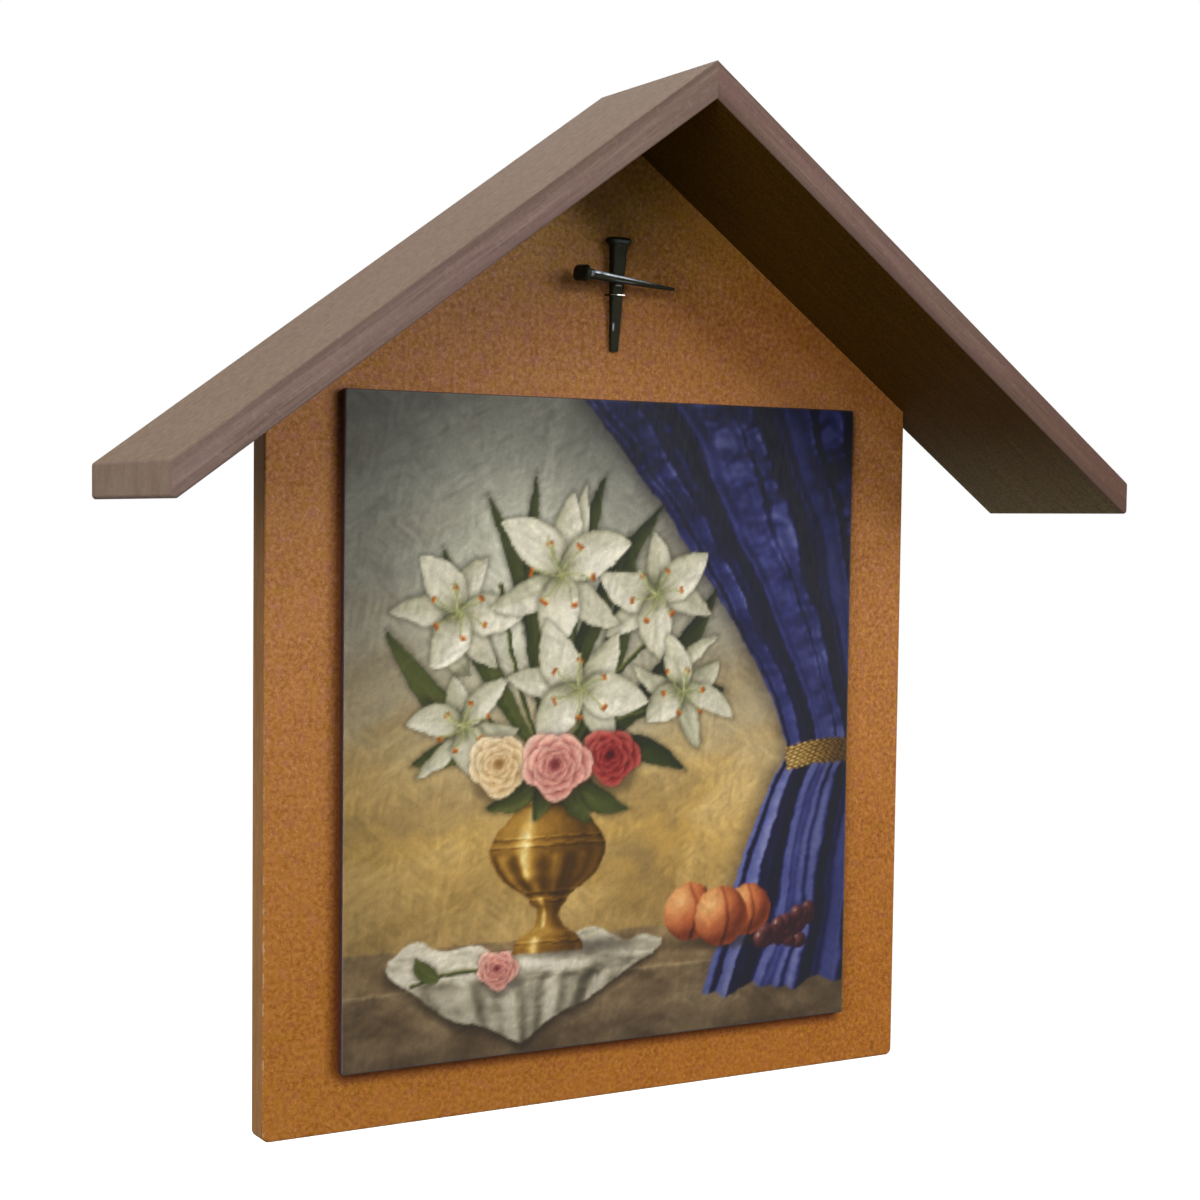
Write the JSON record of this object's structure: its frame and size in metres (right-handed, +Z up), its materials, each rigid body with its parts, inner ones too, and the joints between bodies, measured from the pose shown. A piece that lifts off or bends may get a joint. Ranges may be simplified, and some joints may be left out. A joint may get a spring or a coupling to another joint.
{
  "type": "outdoor wall shrine",
  "caption": "House-shaped wall shrine: a stained backboard under a gable roof of mitred boards, with a picture panel and a small cross of cut nails, hung on keyhole hangers.",
  "frame": {"origin": "on the back face of the backboard, on its centre line, midway between the resting places of the two hanging screws", "axes": "+X to the right as seen from the front, +Y back towards the wall, +Z up"},
  "size_m": [0.7, 0.14, 0.6723],
  "materials": {
    "fibre_board": "matte rust-brown stain, mottled",
    "roof_wood": "weathered grey-brown stain, fine straight grain",
    "panel_board": "dark painted edges",
    "print_film": "satin printed film",
    "foam_tape": "closed-cell foam",
    "black_iron": "blackened, worn bright on the corners",
    "braze": "dull bright metal",
    "bright_wire": "bright drawn wire",
    "zinc_steel": "zinc plated",
    "dowel_wood": "bare beech"
  },
  "bodies": {
    "root": {"backboard": "fibre_board", "roof_board_left": "roof_wood", "roof_board_right": "roof_wood", "picture_panel": "panel_board", "picture_film": "print_film", "upright_nail": "black_iron", "crossbar_nail": "black_iron", "braze_bead_lower": "braze", "braze_bead_upper": "braze", "wire_staple": "bright_wire", "mounting_tape_top": "foam_tape", "mounting_tape_bottom": "foam_tape", "mounting_tape_left": "foam_tape", "mounting_tape_right": "foam_tape", "ridge_dowel_front": "dowel_wood", "ridge_dowel_middle": "dowel_wood", "ridge_dowel_rear": "dowel_wood", "roof_screw_left_upper": "zinc_steel", "roof_screw_left_lower": "zinc_steel", "roof_screw_right_upper": "zinc_steel", "roof_screw_right_lower": "zinc_steel", "keyhole_hanger_left": "zinc_steel", "keyhole_hanger_right": "zinc_steel", "hanger_screw_left_top": "zinc_steel", "hanger_screw_left_bottom": "zinc_steel", "hanger_screw_right_top": "zinc_steel", "hanger_screw_right_bottom": "zinc_steel"}
  },
  "joints": []
}
